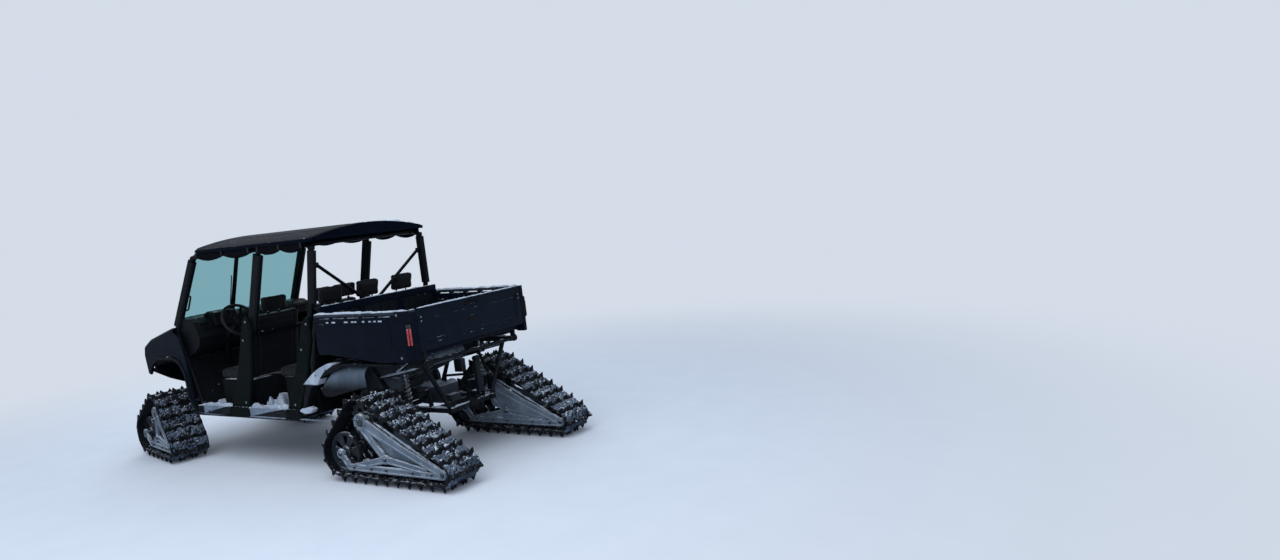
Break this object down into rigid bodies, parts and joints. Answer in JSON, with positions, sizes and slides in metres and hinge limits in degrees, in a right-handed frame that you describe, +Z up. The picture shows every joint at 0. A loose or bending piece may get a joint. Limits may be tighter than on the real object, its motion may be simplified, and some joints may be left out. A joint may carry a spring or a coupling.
{
  "type": "tracked utility vehicle",
  "caption": "Crew-cab utility vehicle on triangular rubber snow tracks, with an open roll cage, hard roof, full windscreen, tilting cargo bed and drop tailgate.",
  "frame": {"origin": "middle of the vehicle's footprint on the ground, under the centre of its bounding box", "axes": "+X forward, +Y to the driver's left, +Z up"},
  "size_m": [4.7891, 2.0975, 2.1793],
  "materials": {
    "black_steel": "satin black powder coat",
    "body_plastic": "very dark slate moulded plastic",
    "dark_trim": "grained black moulded plastic",
    "rolled_fabric": "coated black woven fabric",
    "tinted_screen": "green tinted clear sheet",
    "lamp_lens": "clear moulded lens over a bright reflector",
    "red_lens": "red moulded lens",
    "seat_vinyl": "black stitched vinyl",
    "cast_metal": "raw cast and rolled metal",
    "shock_paint": "painted springs and bodies",
    "track_frame_paint": "light grey cast frame",
    "wheel_rubber": "rubber tyred ground wheels",
    "track_rubber": "moulded rubber belt with deep lugs"
  },
  "bodies": {
    "chassis": {"frame": "black_steel", "skid_plate": "black_steel", "hitch": "black_steel", "cage_left": "black_steel", "cage_right": "black_steel", "cage_crossbars": "black_steel", "roof": "body_plastic", "rolled_curtains": "rolled_fabric", "windscreen": "tinted_screen", "wiper": "dark_trim", "floor_pan": "dark_trim", "sills": "dark_trim", "hood": "body_plastic", "fascia": "body_plastic", "front_fenders": "body_plastic", "headlamps": "lamp_lens", "front_bumper": "black_steel", "radiator": "dark_trim", "dashboard": "dark_trim", "steering_column": "black_steel", "seat_boxes": "dark_trim", "front_seat_cushions": "seat_vinyl", "front_seat_backs": "seat_vinyl", "rear_seat_cushion": "seat_vinyl", "rear_seat_back": "seat_vinyl", "cab_rear_wall": "dark_trim", "pillar_covers": "dark_trim", "rear_fenders": "dark_trim", "engine": "cast_metal", "muffler": "cast_metal", "final_drives": "cast_metal", "half_shafts": "black_steel", "front_arms": "black_steel", "rear_arms": "black_steel", "front_shocks": "shock_paint", "rear_shocks": "shock_paint", "rear_belt_left": "track_rubber", "rear_belt_right": "track_rubber", "rear_track_frames": "track_frame_paint", "rear_track_wheels": "wheel_rubber"},
    "front_left_unit": {"knuckle_left": "black_steel", "front_belt_left": "track_rubber", "front_track_frame_left": "track_frame_paint", "front_track_wheels_left": "wheel_rubber"},
    "front_right_unit": {"knuckle_right": "black_steel", "front_belt_right": "track_rubber", "front_track_frame_right": "track_frame_paint", "front_track_wheels_right": "wheel_rubber"},
    "steering_rack_bar": {"steering_rack": "cast_metal"},
    "steering_wheel_unit": {"steering_wheel": "dark_trim"},
    "bed": {"cargo_bed": "body_plastic", "tail_lamps": "red_lens"},
    "tailgate_panel": {"tailgate": "body_plastic"},
    "strut_cylinder": {"strut_tube": "black_steel"},
    "strut_piston": {"strut_rod": "cast_metal"}
  },
  "joints": [
    {"name": "steer_left", "type": "hinge", "parent": "chassis", "child": "front_left_unit", "pos_m": [1.67841, 0.56, 0.48], "axis": [0, 0, 1], "range_deg": [-12, 36]},
    {"name": "steer_right", "type": "hinge", "parent": "chassis", "child": "front_right_unit", "pos_m": [1.67841, -0.56, 0.48], "axis": [0, 0, 1], "range_deg": [-12, 36]},
    {"name": "rack_slide", "type": "slide", "parent": "chassis", "child": "steering_rack_bar", "axis": [0, -1, 0], "range_m": [-0.0226, 0.0674]},
    {"name": "steering_wheel_turn", "type": "hinge", "parent": "chassis", "child": "steering_wheel_unit", "pos_m": [0.89341, 0.375, 1.345], "axis": [-0.848, 0, 0.5299], "range_deg": [-144, 432]},
    {"name": "bed_tilt", "type": "hinge", "parent": "chassis", "child": "bed", "pos_m": [-1.86159, 0, 0.954], "axis": [0, -1, 0], "range_deg": [0, 40]},
    {"name": "tailgate_drop", "type": "hinge", "parent": "bed", "child": "tailgate_panel", "pos_m": [-1.89959, 0, 1.09], "axis": [0, -1, 0], "range_deg": [0, 90]},
    {"name": "strut_swing", "type": "hinge", "parent": "chassis", "child": "strut_cylinder", "pos_m": [-1.62959, -0.42, 0.625], "axis": [0, -1, 0], "range_deg": [0, 20.5]},
    {"name": "strut_extend", "type": "slide", "parent": "strut_cylinder", "child": "strut_piston", "axis": [0.4012, 0, 0.916], "range_m": [0, 0.218]}
  ],
  "couplings": [
    {"joint": "steer_right", "follows": "steer_left", "ratio": 1},
    {"joint": "rack_slide", "follows": "steer_left", "m_per_rad": 0.10683},
    {"joint": "steering_wheel_turn", "follows": "steer_left", "ratio": 12},
    {"joint": "strut_swing", "follows": "bed_tilt", "ratio": 0.4978},
    {"joint": "strut_extend", "follows": "bed_tilt", "m_per_rad": 0.3094}
  ]
}
